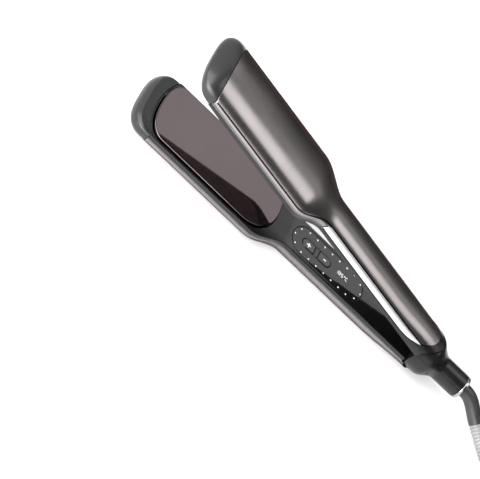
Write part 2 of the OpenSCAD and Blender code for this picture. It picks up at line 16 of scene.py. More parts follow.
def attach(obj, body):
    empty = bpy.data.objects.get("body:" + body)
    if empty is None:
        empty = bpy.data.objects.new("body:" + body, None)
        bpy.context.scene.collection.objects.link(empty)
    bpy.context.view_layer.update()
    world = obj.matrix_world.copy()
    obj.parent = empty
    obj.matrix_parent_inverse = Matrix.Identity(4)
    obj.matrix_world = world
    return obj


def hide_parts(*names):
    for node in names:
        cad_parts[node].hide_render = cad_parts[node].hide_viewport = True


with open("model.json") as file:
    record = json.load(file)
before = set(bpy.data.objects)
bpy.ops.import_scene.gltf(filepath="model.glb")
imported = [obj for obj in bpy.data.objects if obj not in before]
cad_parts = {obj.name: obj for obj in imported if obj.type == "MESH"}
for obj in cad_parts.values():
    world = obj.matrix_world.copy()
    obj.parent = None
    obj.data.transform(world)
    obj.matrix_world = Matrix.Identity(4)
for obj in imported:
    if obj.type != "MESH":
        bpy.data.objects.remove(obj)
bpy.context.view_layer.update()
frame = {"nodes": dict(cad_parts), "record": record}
NODES = frame["nodes"]
record = frame["record"]
joints = {j["name"]: j for j in record["behaviour"]["joints"]}
HINGE = np.array(joints["arm_hinge"]["pos_m"])
OPEN = math.radians(joints["arm_hinge"]["range_deg"][1])
MM = 0.001


# ---------------------------------------------------------------- camera
def look(azimuth, elevation, roll):
    """Forward, right and up of a camera that looks along +Y at azimuth 0 and is turned about its axis by roll."""
    az, el, ro = map(math.radians, (azimuth, elevation, roll))
    forward = Vector((math.sin(az) * math.cos(el), math.cos(az) * math.cos(el), -math.sin(el)))
    right = forward.cross(Vector((0, 0, 1))).normalized()
    up = right.cross(forward)
    right, up = (math.cos(ro) * right + math.sin(ro) * up, math.cos(ro) * up - math.sin(ro) * right)
    return forward, right, up


SCALE = 1792.5                     # image pixels per metre at the iron
IMAGE_WIDTH = 480
SENSOR = 36
DISTANCE = 1.6667
AZIMUTH, ELEVATION, ROLL = 21.5105, 40.387, 58.0599
AIM_RIGHT, AIM_UP = -68.66, 2.04   # where the camera aims, in image pixels from mid
mid = Vector(HINGE) + Vector((-0.1, 0, 0))
forward, right, up = look(AZIMUTH, ELEVATION, ROLL)
eye = mid - forward * DISTANCE
aim = mid + right * (AIM_RIGHT / SCALE) + up * (AIM_UP / SCALE)
z_axis = (eye - aim).normalized()
x_axis = up.cross(z_axis).normalized()
y_axis = z_axis.cross(x_axis)
camera_data = bpy.data.cameras.new("camera")
camera_data.lens = SCALE * DISTANCE / IMAGE_WIDTH * SENSOR
camera_data.sensor_width = SENSOR
camera_data.clip_start = 0.05
camera_data.clip_end = 30
camera = bpy.data.objects.new("camera", camera_data)
camera.matrix_world = Matrix((
    (x_axis.x, y_axis.x, z_axis.x, eye.x),
    (x_axis.y, y_axis.y, z_axis.y, eye.y),
    (x_axis.z, y_axis.z, z_axis.z, eye.z),
    (0, 0, 0, 1)))
bpy.context.scene.collection.objects.link(camera)
bpy.context.scene.camera = camera
bpy.context.scene.view_settings.view_transform = "Standard"


# ---------------------------------------------------------------- materials
class Shader:
    """A Principled material with a few helpers for procedural nodes."""

    def __init__(self, name, **constants):
        self.mat = bpy.data.materials.new(name)
        self.mat.use_nodes = True
        self.tree = self.mat.node_tree
        self.bsdf = self.tree.nodes["Principled BSDF"]
        for key, value in constants.items():
            self.bsdf.inputs[key.replace("_", " ")].default_value = value
        self.coords = self.new("ShaderNodeTexCoord").outputs["Object"]

    def new(self, kind, **props):
        node = self.tree.nodes.new(kind)
        for key, value in props.items():
            setattr(node, key, value)
        return node

    def link(self, a, b):
        self.tree.links.new(a, b)

    def noise(self, scale, detail=3.0, rough=0.55, stretch=None):
        node = self.new("ShaderNodeTexNoise")
        node.inputs["Scale"].default_value = scale
        node.inputs["Detail"].default_value = detail
        node.inputs["Roughness"].default_value = rough
        source = self.coords
        if stretch:
            mapping = self.new("ShaderNodeMapping")
            mapping.inputs["Scale"].default_value = stretch
            self.link(source, mapping.inputs["Vector"])
            source = mapping.outputs["Vector"]
        self.link(source, node.inputs["Vector"])
        return node.outputs["Fac"]

    def span(self, value, low, high, a=0.0, b=1.0):
        node = self.new("ShaderNodeMapRange")
        for key, number in zip(("From Min", "From Max", "To Min", "To Max"), (a, b, low, high)):
            node.inputs[key].default_value = number
        self.link(value, node.inputs["Value"])
        return node.outputs["Result"]

    def blend(self, factor, one, two):
        node = self.new("ShaderNodeMix", data_type="RGBA")
        for socket, value in ((6, one), (7, two)):
            if hasattr(value, "is_output"):
                self.link(value, node.inputs[socket])
            else:
                node.inputs[socket].default_value = (*value, 1)
        self.link(factor, node.inputs[0])
        return node.outputs[2]

    def colour(self, value):
        self.link(value, self.bsdf.inputs["Base Color"])

    def rough(self, value):
        self.link(value, self.bsdf.inputs["Roughness"])

    def bump(self, height, strength, distance=0.0001):
        node = self.new("ShaderNodeBump")
        node.inputs["Strength"].default_value = strength
        node.inputs["Distance"].default_value = distance
        self.link(height, node.inputs["Height"])
        self.link(node.outputs["Normal"], self.bsdf.inputs["Normal"])


def plain(name, colour, rough, metal=0.0, grain=900.0, spread=0.12, bump=0.05, wobble=0.06, **extra):
    """Base colour and roughness that vary a little, with a fine surface grain."""
    s = Shader(name, Metallic=metal, **extra)
    dark = tuple(c * (1 - spread) for c in colour)
    light = tuple(min(1, c * (1 + spread)) for c in colour)
    s.colour(s.blend(s.span(s.noise(70), 0, 1, 0.3, 0.7), dark, light))
    s.rough(s.span(s.noise(120, 4), max(0.02, rough - wobble), rough + wobble, 0.3, 0.7))
    s.bump(s.noise(grain, 2), bump, 0.00005)
    return s.mat


def lacquer():
    """Warm dark metallic lacquer: fine flakes, a slow drift in tone, darker where it turns away."""
    s = Shader("shell_lacquer", Metallic=1.0)
    s.bsdf.inputs["Specular Tint"].default_value = (0.12, 0.10, 0.10, 1)
    flake = s.noise(5200, 1)
    tint = s.blend(s.span(flake, 0, 1, 0.35, 0.65), (0.262, 0.240, 0.240), (0.305, 0.281, 0.281))
    s.colour(s.blend(s.span(s.noise(9, 2), 0, 0.35, 0.35, 0.65), tint, (0.26, 0.24, 0.241)))
    s.rough(s.span(s.noise(45, 4), 0.235, 0.285, 0.3, 0.7))
    s.bump(flake, 0.04, 0.00003)
    return s.mat


def mirror_plate():
    s = Shader("plate_coating", Metallic=1.0)
    s.colour(s.blend(s.span(s.noise(30, 3), 0, 1, 0.3, 0.7), (0.112, 0.091, 0.095), (0.120, 0.098, 0.102)))
    s.rough(s.span(s.noise(14, 5, 0.6, (1, 3, 3)), 0.035, 0.075, 0.35, 0.7))
    s.bump(s.noise(260, 3, 0.5, (0.15, 1, 1)), 0.015, 0.00002)
    return s.mat


def satin(name, colour, rough, fine=2600.0, **extra):
    s = Shader(name, **extra)
    dark, light = (tuple(c * k for c in colour) for k in (0.9, 1.1))
    s.colour(s.blend(s.span(s.noise(60, 4), 0, 1, 0.3, 0.7), dark, light))
    s.rough(s.span(s.noise(90, 5, 0.6), rough - 0.05, rough + 0.05, 0.3, 0.7))
    s.bump(s.noise(fine, 2), 0.12, 0.00003)
    return s.mat


def deck():
    """Inner face of an arm: satin round the plate, glossy along the handle between its rims."""
    s = Shader("deck", IOR=1.52)
    parts = s.new("ShaderNodeSeparateXYZ")
    s.link(s.coords, parts.inputs[0])
    start = float(HINGE[0]) - 0.1135
    gloss = s.span(parts.outputs["X"], 0, 1, start, start + 0.004)
    s.colour(s.blend(gloss, (0.003, 0.003, 0.0031), (0.003, 0.003, 0.0031)))
    satin_rough = s.span(s.noise(90, 5, 0.6), 0.22, 0.29, 0.3, 0.7)
    gloss_rough = s.span(s.noise(40, 4), 0.07, 0.11, 0.3, 0.7)
    mixed = s.new("ShaderNodeMix", data_type="FLOAT")
    s.link(gloss, mixed.inputs[0])
    s.link(satin_rough, mixed.inputs[2])
    s.link(gloss_rough, mixed.inputs[3])
    s.rough(mixed.outputs[0])
    s.bump(s.noise(2600, 2), 0.03, 0.00003)
    return s.mat


def ribbed_cloth(name, colour):
    s = Shader(name)
    weave = s.new("ShaderNodeTexWave", wave_type="BANDS", bands_direction="X")
    weave.inputs["Scale"].default_value = 380
    weave.inputs["Distortion"].default_value = 0.6
    s.link(s.coords, weave.inputs["Vector"])
    s.colour(s.blend(weave.outputs["Fac"], tuple(c * 0.6 for c in colour), colour))
    s.rough(s.span(s.noise(200), 0.75, 0.9))
    s.bump(weave.outputs["Fac"], 0.5, 0.0003)
    return s.mat


M = {
    "shell": lacquer(),
    "plate": mirror_plate(),
    "frame": satin("frame_plastic", (0.008, 0.008, 0.0082), 0.27, Specular_IOR_Level=0.36),
    "tip_cap": satin("tip_cap_plastic", (0.012, 0.012, 0.0124), 0.3),
    "tail_plastic": satin("tail_plastic", (0.005, 0.005, 0.0051), 0.24, Specular_IOR_Level=0.34),
    "deck": deck(),
    "lip": plain("polished_lip", (0.16, 0.155, 0.16), 0.16, 0.6, 1500),
    # painted shade: near-black material of the strips laid into the seams to stand in for their shade
    "seam_shade": plain("painted_seam_shade", (0.0015, 0.0015, 0.0015), 0.5, 0, 1500, 0.2, 0.05, Specular_IOR_Level=0.04),
    "panel": plain("panel_gloss", (0.004, 0.004, 0.0042), 0.045, 0, 300, 0.2, 0.004, 0.015, IOR=1.55),
    "button": plain("button_gloss", (0.004, 0.004, 0.0042), 0.12, 0, 900, 0.15, 0.01, 0.03, IOR=1.65),
    "light": plain("light_guides", (0.9, 0.91, 0.93), 0.35, 0, 900, 0.05,
                   Emission_Color=(1, 1, 1, 1), Emission_Strength=0.35),
    "chrome": plain("chrome", (0.86, 0.86, 0.87), 0.14, 1, 1500, 0.02, 0.01, 0.02),
    "collar": plain("collar_chrome", (0.36, 0.36, 0.37), 0.13, 1, 1500, 0.02, 0.01, 0.02),
    "steel": plain("zinc_steel", (0.5, 0.5, 0.51), 0.32, 1, 1800, 0.1),
    "black_pin": plain("blackened_steel", (0.012, 0.012, 0.0125), 0.3, 0.4, 1800, 0.15),
    "spring_steel": plain("spring_steel", (0.2, 0.2, 0.21), 0.35, 1, 1800, 0.15),
    "ceramic": plain("ceramic", (0.78, 0.75, 0.66), 0.6, 0, 700, 0.06, 0.2),
    "carrier": plain("carrier_plastic", (0.03, 0.03, 0.031), 0.5, 0, 1200, 0.2, 0.2),
    "cushion": plain("silicone", (0.45, 0.09, 0.05), 0.45, 0, 900, 0.08, 0.1),
    "seat": plain("folded_aluminium", (0.6, 0.6, 0.61), 0.3, 1, 1500, 0.06),
    "lead": plain("lead_sleeve", (0.75, 0.74, 0.7), 0.5, 0, 900, 0.06),
    "module": plain("display_module", (0.02, 0.025, 0.04), 0.2, 0, 600, 0.2, 0.01),
    "switch": plain("switch_metal", (0.45, 0.45, 0.46), 0.35, 0.9, 1200, 0.1),
    "board": plain("circuit_board", (0.01, 0.1, 0.035), 0.35, 0, 500, 0.25, 0.1),
    "washer": plain("nylon", (0.7, 0.68, 0.62), 0.45, 0, 900, 0.05),
    "sleeve": plain("sleeve_plastic", (0.015, 0.015, 0.016), 0.4, 0, 1500, 0.2),
    "relief": plain("relief_rubber", (0.018, 0.018, 0.0185), 0.42, 0, 2200, 0.1, 0.12),
    "relief_ribs": plain("ribbed_rubber", (0.2, 0.2, 0.2), 0.5, 0, 2200, 0.1, 0.12),
    "cord": plain("cord_jacket", (0.02, 0.02, 0.021), 0.4, 0, 1600, 0.2, 0.1),
    "tie": ribbed_cloth("tie_band", (0.03, 0.03, 0.032)),
    "plug": plain("plug_plastic", (0.022, 0.022, 0.023), 0.38, 0, 2000, 0.2, 0.15),
    "pins": plain("pin_plating", (0.62, 0.55, 0.38), 0.22, 1, 1500, 0.05),
}
FINISH = {e["node"]: e["material_slot"] for e in record["subparts"]}
SLOT_MATERIAL = {"strip": "chrome"}
for node, obj in NODES.items():
    slot = FINISH[node]
    chosen = M["black_pin" if node == "hinge_pin" else SLOT_MATERIAL.get(slot, slot)]
    for k in range(len(obj.material_slots)):
        obj.material_slots[k].material = chosen


# ---------------------------------------------------------------- building meshes
def place(pts, upper):
    """Points of an arm (x, y, depth) in mm from the hinge, to the row frame in metres."""
    q = np.asarray(pts, float).reshape(-1, 3)
    x, y, z = q[:, 0], q[:, 1], -q[:, 2]
    if upper:
        z = -z
        c, s = math.cos(OPEN), math.sin(OPEN)
        x, z = x * c + z * s, -x * s + z * c
    return np.stack([x, y, z], 1) * MM + HINGE


class Build:
    """Collects grids and faces, and makes one smooth mesh of them."""

    def __init__(self):
        self.verts, self.faces, self.marks = [], [], []

    def grid(self, rings, closed=True, mark=0, marks=None):
        rings = np.asarray(rings, float)
        base = len(self.verts)
        count, n = rings.shape[:2]
        self.verts += [tuple(v) for v in rings.reshape(-1, 3)]
        for i in range(count - 1):
            for j in range(n if closed else n - 1):
                k = (j + 1) % n
                here, there = base + i * n, base + (i + 1) * n
                self.faces.append((here + j, here + k, there + k, there + j))
                self.marks.append(marks[i] if marks else mark)

    def face(self, pts, mark=0):
        base = len(self.verts)
        self.verts += [tuple(v) for v in np.asarray(pts, float)]
        self.faces.append(tuple(range(base, base + len(pts))))
        self.marks.append(mark)

    def fill(self, loops, mark=0):
        """A flat area between closed loops (x, y, depth)."""
        bm = bmesh.new()
        for loop in loops:
            vs = [bm.verts.new(v) for v in loop]
            for a, b in zip(vs, vs[1:] + vs[:1]):
                bm.edges.new((a, b))
        bmesh.ops.triangle_fill(bm, use_beauty=True, use_dissolve=False, edges=bm.edges[:])
        base = len(self.verts)
        bm.verts.index_update()
        self.verts += [tuple(v.co) for v in bm.verts]
        for f in bm.faces:
            self.faces.append(tuple(base + v.index for v in f.verts))
            self.marks.append(mark)
        bm.free()

    def make(self, name, body, mats, replaced=(), upper=None, angle=32):
        verts = place(self.verts, upper) if upper is not None else np.asarray(self.verts, float)
        mesh = bpy.data.meshes.new(name)
        mesh.from_pydata([tuple(v) for v in verts], [], self.faces)
        for m in mats:
            mesh.materials.append(M[m])
        for f, mark in zip(mesh.polygons, self.marks):
            f.material_index = mark
        bm = bmesh.new()
        bm.from_mesh(mesh)
        bmesh.ops.remove_doubles(bm, verts=bm.verts[:], dist=2e-6)
        bmesh.ops.recalc_face_normals(bm, faces=bm.faces[:])
        bm.to_mesh(mesh)
        bm.free()
        return finish_object(bpy.data.objects.new(name, mesh), body, replaced, angle)


def arm_body(upper):
    return "upper_arm" if upper else "lower_arm"


def finish_object(obj, body, replaced=(), angle=32):
    obj.data.shade_smooth()
    obj.data.set_sharp_from_angle(angle=math.radians(angle))
    weigh = obj.modifiers.new("normals", "WEIGHTED_NORMAL")
    weigh.weight = 80
    weigh.keep_sharp = True
    if obj.name not in bpy.context.scene.collection.objects:
        bpy.context.scene.collection.objects.link(obj)
    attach(obj, body)
    if replaced:
        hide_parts(*replaced)
    return obj


# ---------------------------------------------------------------- the arms' shape
TIP, SEAM_X, NOSE_X = -226.5, -210.7, -216.8
SIDE, LIP, STRIP, FACE = 5.5, 5.65, 9.1, 2.0     # frame's edge, shell's lip, trim's top, deck (depths)
BACK, HEAD, HANDLE = 15.2, 24.0, 12.7            # depth of the back, half widths of head and handle
POWER, GAP, DRUM = 2.2, 0.3, 13.2                # superellipse power, seams, radius of the hinge drum


def ease(t):
    return (1 - np.cos(np.pi * np.clip(t, 0, 1))) / 2


def mix(a, b, t):
    return a + (b - a) * t


def bump(t, n):
    return np.maximum(0, 1 - np.abs(t) ** n) ** (1 / n)


def neck(x):
    return ease((x + 134) / 25.5)


def tail(x):
    return ease((x + 45) / 35)


def half_w(x):
    return mix(HEAD, HANDLE, neck(x))


def wall_p(x):
    return mix(SIDE, 3.5, tail(x))


def back_p(upper, x):
    return mix(mix(BACK, 12.2, neck(x)) if upper else BACK + 0 * x, DRUM - 0.1, tail(x))


def edge_p(upper, x):
    return mix(LIP, STRIP, ease((x + 112.5) / 4)) if upper else LIP + 0 * x


def half_at(upper, x, p):
    w = wall_p(x)
    return half_w(x) * bump(np.maximum(0, p - w) / (back_p(upper, x) - w), POWER)


def trim_low(x, low, top):
    """Lower edge of the chrome trim: level at low, then climbing to top at the tail."""
    return low + (top - low) * np.maximum(0, (x + 34) / 16) ** 1.9


def thumb_edge(y):
    """Rounded end of the upper shell near the tail."""
    return -21.5 + 11.5 * np.sqrt(np.maximum(0, 1 - (y / 11.1) ** 2))


def drum_edge(p, gap=GAP):
    """Edge that follows the hinge drum, gap away from it."""
    return -np.sqrt(np.maximum((DRUM + gap) ** 2 - p * p, 4))


def lean(p):
    """How far the seam at the tip leans towards the tip over an arm's back."""
    return 0.65 * np.maximum(0, p - 8)


def section(upper, x, n, sink=0.0, clear=0.0):
    """Points (x, y, p) round the outside of a shell at x, from one lip over the back to the other."""
    e, w, b = edge_p(upper, x) + clear, wall_p(x), back_p(upper, x)
    a0 = np.arcsin(np.maximum(0, (e - w) / (b - w)) ** (POWER / 2))
    a = a0 + (np.pi - 2 * a0) * np.linspace(0, 1, n)
    c = np.cos(a)
    y = -np.sign(c) * (half_w(x) - sink) * np.abs(c) ** (2 / POWER)
    p = w + (b - w - sink) * np.sin(a) ** (2 / POWER)
    return np.stack([x + 0 * y, y, np.maximum(p, e)], 1)


def shell(upper):
    """The metal shell: rounded lips along its sides and a fine bevel at both ends."""
    n, warp_x = 57, -34                # points round the back; where rings start to bend to the tail's edge
    xs = np.concatenate([
        SEAM_X + GAP / 2 + np.array([0, 0.06, 0.25]),
        np.linspace(-209.5, -135, 18), np.linspace(-134, -104, 34), np.linspace(-102, -36, 14)])
    sinks = np.zeros(len(xs))
    sinks[:2] = (0.28, 0.08)

    def ring(x, warp, sink):
        core = section(upper, x, n, sink, 0.28)
        if x < -210:
            core[:, 0] -= lean(core[:, 2])
        if warp > 0:
            for _ in range(3):
                end = thumb_edge(core[:, 1]) if upper else drum_edge(core[:, 2])
                at = mix(warp_x, end, warp)
                if sink:
                    at = at - max(0, 0.3 - sink)
                w, b = wall_p(at), back_p(upper, at)
                e = edge_p(upper, at) + 0.28
                a0 = np.arcsin(np.clip((e - w) / (b - w), 0, 1) ** (POWER / 2))
                a = a0 + (np.pi - 2 * a0) * np.linspace(0, 1, n)
                c = np.cos(a)
                core = np.stack([
                    at, -np.sign(c) * (HANDLE - sink) * np.abs(c) ** (2 / POWER),
                    w + (b - w - sink) * np.sin(a) ** (2 / POWER)], 1)
        before = core[0] + np.array([(0, 1.5, -0.28), (0, 0.3, -0.28), (0, 0.09, -0.2)])
        after = core[-1] + np.array([(0, -0.09, -0.2), (0, -0.3, -0.28), (0, -1.5, -0.28)])
        return np.vstack([before, core, after])

    rings = [ring(x, 0, s) for x, s in zip(xs, sinks)]
    rings += [ring(warp_x, w, 0) for w in np.linspace(0.04, 1, 14)]
    # returns at both ends, so that the wall reads as solid
    back = ring(xs[0], 0, 1.4)
    end = ring(warp_x, 1, 0.25)
    inner = ring(warp_x, 1, 1.4)
    b = Build()
    b.grid([back] + rings + [end, inner], closed=False)
    name = "upper_shell" if upper else "lower_shell"
    return b.make(name + "_skin", arm_body(upper), ["shell"], (name,), upper, 38)


# ---------------------------------------------------------------- flat outlines
def inset(loop, d):
    """A closed counter-clockwise loop of (x, y), moved inwards by d."""
    q = np.asarray(loop, float)
    before, after = np.roll(q, 1, 0), np.roll(q, -1, 0)
    e1, e2 = q - before, after - q
    n1 = np.stack([-e1[:, 1], e1[:, 0]], 1) / np.maximum(np.linalg.norm(e1, axis=1), 1e-9)[:, None]
    n2 = np.stack([-e2[:, 1], e2[:, 0]], 1) / np.maximum(np.linalg.norm(e2, axis=1), 1e-9)[:, None]
    n = n1 + n2
    n /= np.maximum(np.linalg.norm(n, axis=1), 1e-9)[:, None]
    return q + n * (d / np.maximum((n * n1).sum(1), 0.35))[:, None]


def at_depth(loop, p):
    return np.column_stack([loop, np.full(len(loop), float(p))])


def levels(loop, steps):
    """Rings of a loop at (inset, depth) steps."""
    return [at_depth(inset(loop, d), p) for d, p in steps]


def frame_loop(end_x, n_nose=33):
    """Outline of an arm's frame, with a bowed end towards the tip."""
    xs = np.concatenate([[SEAM_X], np.linspace(-205, -135, 12), np.linspace(-134, -108, 28),
                         np.linspace(-104, end_x, 16)])
    side = np.stack([xs, half_w(xs)], 1)
    y = np.linspace(HEAD, -HEAD, n_nose + 2)[1:-1]
    nose = np.stack([mix(NOSE_X, SEAM_X, (y / HEAD) ** 2), y], 1)
    return np.vstack([side[::-1], nose, side * (1, -1)])


def plate_loop(grow=0.0, n=40):
    """Outline of the hot plate, rounder at its handle end."""
    half = 22.0 + grow
    a = np.radians(np.linspace(90, -90, n + 1))
    c, s = np.maximum(np.cos(a), 0), np.sin(a)
    handle = np.stack([-143.2 + (20 + grow) * c ** 0.9, -half * np.sign(s) * np.abs(s) ** 0.9], 1)
    tip = np.stack([-203 - (12.2 + grow) * c ** 0.8, half * np.sign(s) * np.abs(s) ** 0.8], 1)
    return np.vstack([handle, tip])


def pill_loop(x0, x1, r, n=24):
    """Straight sides with a half circle at each end."""
    a = np.radians(np.linspace(-90, 90, n + 1))
    right = np.stack([x1 + r * np.cos(a), r * np.sin(a)], 1)
    left = np.stack([x0 - r * np.cos(a), -r * np.sin(a)], 1)
    return np.vstack([right, left])


PANEL_R = 10.6
PANEL = (-110.3 + PANEL_R, -55.2 - PANEL_R)


def arm_frame(upper):
    """Inner tray of an arm: polished lip, groove, deck, plate opening, and the panel's recess in the lower one."""
    outer = frame_loop(-42.3 if upper else -14)
    window = plate_loop(0.55)
    steps = [(1.2, 5.5), (0.35, 5.5), (0.1, 5.42), (0, 5.25), (0, 4.85), (0.06, 4.72), (0.3, 4.66), (0.3, 4.5),
             (0.04, 4.4), (0, 4.3), (0, 2.5), (0.05, 2.28), (0.16, 2.12), (0.3, 2.03), (0.45, 2.0)]
    marks = [2] * 5 + [1] * 3 + [0] * 6            # lip, dark groove, frame
    b = Build()
    b.grid(levels(outer, steps), marks=marks)
    deck_loops = [at_depth(inset(outer, 0.45), FACE), at_depth(inset(window, -0.35), FACE)]
    b.grid(levels(window, [(-0.35, 2.0), (-0.12, 2.05), (0, 2.25), (0, 4.4)]))
    if not upper:
        recess = pill_loop(*PANEL, PANEL_R)
        deck_loops.append(at_depth(inset(recess, -0.12), FACE))
        b.grid(levels(recess, [(-0.12, 2.0), (0, 2.1), (0, 3.5)]), mark=1)
        b.fill([at_depth(recess, 3.5)], mark=1)
    b.fill(deck_loops, mark=3)
    name = "upper_frame" if upper else "lower_frame"
    return b.make(name + "_skin", arm_body(upper),
                  ["frame", "sleeve", "lip", "deck"], (name,), upper, 40)


def plate(upper):
    loop = plate_loop()
    b = Build()
    b.grid(levels(loop, [(0.4, 3.2), (0, 3.1), (0, 0.75), (0.05, 0.5), (0.18, 0.3), (0.4, 0.18), (0.7, 0.15)]))
    b.face(at_depth(inset(loop, 0.7), 0.15))
    b.face(at_depth(inset(loop, 0.4), 3.2))
    name = "upper_plate" if upper else "lower_plate"
    body = "upper_plate_unit" if upper else "lower_plate_unit"
    return b.make(name + "_skin", body, ["plate"], (name,), upper, 50)


def cap_end(p):
    """How far a tip cap reaches at a depth: furthest at out, rounded under it and sloping back over it."""
    out = 7.8
    under = 3.9 * (np.maximum(0, out - p) / 5.8) ** 2.2
    over = 10 * (np.maximum(0, p - out) / 7.4) ** 1.6
    return TIP + np.where(p < out, under, over)


def tip_cap(upper):
    """Tip cap: bowed end, back sloping up to the leaning seam, soft edge round its inner face."""
    n = 61
    a = np.radians(np.linspace(-90, 90, n))
    shares = (0.998, 0.985, 0.96, 0.92, 0.87, 0.81, 0.74, 0.66, 0.57, 0.48, 0.39, 0.3, 0.21, 0.12, 0.04)
    depths = [mix(SIDE, BACK, share) for share in shares]
    depths += [5.1, 4.6, 4.1, 3.6, 3.2, 2.85, 2.55, 2.3, 2.12, 2.0]
    rings = []
    for p in depths:
        half = HEAD * bump(max(0, p - SIDE) / (BACK - SIDE), POWER) - 1.4 * (max(0, 3.6 - p) / 1.6) ** 2.2
        start = SEAM_X - 0.25 - lean(p)
        reach = max(0.6, start - cap_end(p))
        y = -half * np.sign(a) * np.abs(np.sin(a)) ** 0.66
        row = np.stack([start - reach * np.cos(a) ** 0.66, y, np.full(n, p)], 1)
        small = min(1, half / 3)
        before = row[0] + np.array([(0, -1.3 * small, 0), (0, -0.2 * small, 0)])
        after = row[-1] + np.array([(0, 0.2 * small, 0), (0, 1.3 * small, 0)])
        row[[0, -1], 0] -= 0.12
        rings.append(np.vstack([before, row, after]))
    rings = np.array(rings)
    b = Build()
    b.grid(rings, closed=False)
    b.face(rings[0])
    top = rings[-1]
    y = np.linspace(top[-1][1], top[0][1], 31)
    nose = np.stack([mix(NOSE_X - GAP, SEAM_X - GAP, (y / (HEAD + GAP)) ** 2), y, 0 * y + FACE], 1)
    b.fill([np.vstack([top, nose])])
    wall = nose.copy()
    wall[:, 2] = 4.5
    b.grid([nose, wall], closed=False)
    name = "upper_tip_cap" if upper else "lower_tip_cap"
    return b.make(name + "_skin", arm_body(upper), ["tip_cap"], (name,), upper, 46)


def side_strips():
    """Chrome trim along both sides of the upper handle, slightly domed, pointed at the tail."""
    start = -111
    near_start = start + np.array([0.02, 0.15, 0.4, 0.8, 1.3, 1.9, 2.6])
    xs = np.concatenate([near_start, np.linspace(-107.5, -18, 60)])
    b = Build()
    low = trim_low(xs, 4.95, STRIP - 0.3)
    top = edge_p(True, xs) - 0.3
    proud = 0.12                       # the trim laps over the frame's edge
    open_ = np.sqrt(np.minimum(1, (xs - start) / 2.4))
    for side in (-1, 1):
        rings = []
        for x, lo, hi, o in zip(xs, low, top, open_):
            m, h = (lo + hi) / 2, max(0.04, (hi - lo) / 2 * o)
            row = []
            for k in np.linspace(-1, 1, 15):
                p = m + k * h
                dome = -0.3 * (abs(k) ** 8 if k < 0 else abs(k) ** 30) * min(1, h / 0.8)
                row.append((x, side * (half_at(True, x, p) + dome + proud), p))
            for k in (1, -1):
                p = m + k * h
                row.append((x, side * (half_at(True, x, p) - 1.2), p))
            rings.append(row)
        b.grid(rings)
        b.face(rings[0])
        b.face(rings[-1])
    return b.make("side_strips_skin", "upper_arm", ["chrome"], ("upper_side_strips",), True, 50)


def side_shade_line(name, xs, mid_p, half):
    """Painted shade: a flat black strip along both sides of the upper arm, centred on the depths mid_p, darkening
    the seam as its shade would.
    """
    b = Build()
    for side in (-1, 1):
        rings = []
        for x, m in zip(xs, mid_p):
            steps = [(k, 0.06 * (1 - k ** 4)) for k in np.linspace(-1, 1, 7)] + [(1, -0.4), (-1, -0.4)]
            rings.append([(x, side * (half_at(True, x, m + half * k) + lift), m + half * k) for k, lift in steps])
        b.grid(rings)
        b.face(rings[0])
        b.face(rings[-1])
    return b.make(name, "upper_arm", ["seam_shade"], (), True, 60)


def seam_shade_line(name, upper, low, edge):
    """Painted shade: a thin black rod laid in the seam round an arm's tail, over its back from one side to the
    other, darkening the gap as its shade would.
    """
    a = np.linspace(low, np.pi - low, 90)
    c, s = np.cos(a), np.sin(a)
    y = -np.sign(c) * HANDLE * np.abs(c) ** (2 / POWER)
    p = 10.0 + 0 * y
    for _ in range(8):
        x = edge(y, p)
        p = wall_p(x) + (back_p(upper, x) - wall_p(x)) * s ** (2 / POWER)
    path = np.stack([x, y, p], 1)
    way = np.gradient(path, axis=0)
    way /= np.linalg.norm(way, axis=1)[:, None]
    out = path * (0, 1, 1) - (0, 0, 4)
    out -= way * (out * way).sum(1)[:, None]
    out /= np.linalg.norm(out, axis=1)[:, None]
    side = np.cross(way, out)
    turn = np.linspace(0, 2 * np.pi, 13)[:-1]
    radius, sunk = 0.36, 0.22
    rings = [q - sunk * o + radius * (np.cos(turn)[:, None] * d + np.sin(turn)[:, None] * o)
             for q, o, d in zip(path, out, side)]
    b = Build()
    b.grid(rings)
    b.face(rings[0])
    b.face(rings[-1])
    return b.make(name, arm_body(upper), ["seam_shade"], (), upper, 60)


def bake(obj):
    """Makes an object's modifiers part of its mesh."""
    depsgraph = bpy.context.evaluated_depsgraph_get()
    mesh = bpy.data.meshes.new_from_object(obj.evaluated_get(depsgraph))
    obj.modifiers.clear()
    old = obj.data
    obj.data = mesh
    bpy.data.meshes.remove(old)


def boolean(obj, cutter, operation="DIFFERENCE"):
    """An exact boolean, baked; the cutter is used up."""
    mod = obj.modifiers.new("cut", "BOOLEAN")
    mod.operation = operation
    mod.solver = "EXACT"
    mod.object = cutter
    bake(obj)
    bpy.data.objects.remove(cutter)


def solid(name, verts, faces, material=None):
    mesh = bpy.data.meshes.new(name)
    mesh.from_pydata([tuple(v) for v in verts], [], faces)
    if material:
        mesh.materials.append(M[material])
    bm = bmesh.new()
    bm.from_mesh(mesh)
    bmesh.ops.recalc_face_normals(bm, faces=bm.faces[:])
    bm.to_mesh(mesh)
    bm.free()
    obj = bpy.data.objects.new(name, mesh)
    bpy.context.scene.collection.objects.link(obj)
    return obj


def prism(name, loops, upper, material=None):
    """A closed solid through equal rings of (x, y, p)."""
    rings = np.asarray(loops, float)
    count, n = rings.shape[:2]
    faces = [(i * n + j, i * n + (j + 1) % n, (i + 1) * n + (j + 1) % n, (i + 1) * n + j)
             for i in range(count - 1) for j in range(n)]
    faces += [tuple(range(n)), tuple(range((count - 1) * n, count * n))]
    return solid(name, place(rings, upper), faces, material)


def soften(obj, width, segments=2, angle=35):
    """Bevels sharp edges for good and smooths the rest."""
    mod = obj.modifiers.new("edge", "BEVEL")
    mod.width = width
    mod.segments = segments
    mod.limit_method = "ANGLE"
    mod.angle_limit = math.radians(angle)
    mod.use_clamp_overlap = True
    bake(obj)


